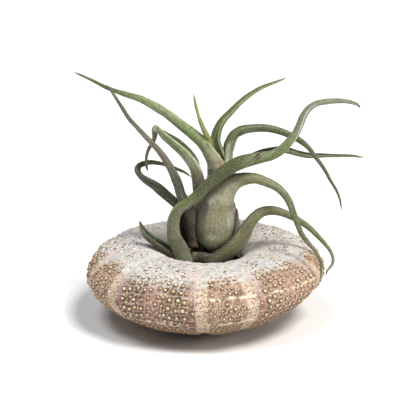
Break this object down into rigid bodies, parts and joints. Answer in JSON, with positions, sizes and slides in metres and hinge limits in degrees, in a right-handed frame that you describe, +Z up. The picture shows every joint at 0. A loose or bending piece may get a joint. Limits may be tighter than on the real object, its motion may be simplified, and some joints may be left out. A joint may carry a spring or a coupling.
{
  "type": "air plant in a sea urchin shell",
  "caption": "Round-bulbed air plant with long, twisting, channelled leaves, seated in the mouth of a bumpy, flattened sea urchin shell that serves as its holder.",
  "frame": {"origin": "on the small flat under the shell that the object stands on, straight below the middle of the shell", "axes": "+Z up, +X to the right of the pictured view, -Y towards the viewer"},
  "size_m": [0.1192, 0.0954, 0.1011],
  "materials": {
    "shell": "matte",
    "leaf": "matte",
    "sheath": "matte"
  },
  "bodies": {
    "root": {"urchin_shell": "shell", "bulb_heart": "sheath", "back_sheath": "sheath", "leaf_top_spike": "leaf", "leaf_upper_right": "leaf", "leaf_upper_left": "leaf", "leaf_right_arch": "leaf", "leaf_right_level": "leaf", "leaf_left_curl": "leaf", "leaf_right_drooping": "leaf", "leaf_left_long": "leaf", "leaf_left_loop": "leaf", "leaf_front_crossing": "leaf", "leaf_right_low": "leaf", "leaf_left_short": "leaf"}
  },
  "joints": []
}
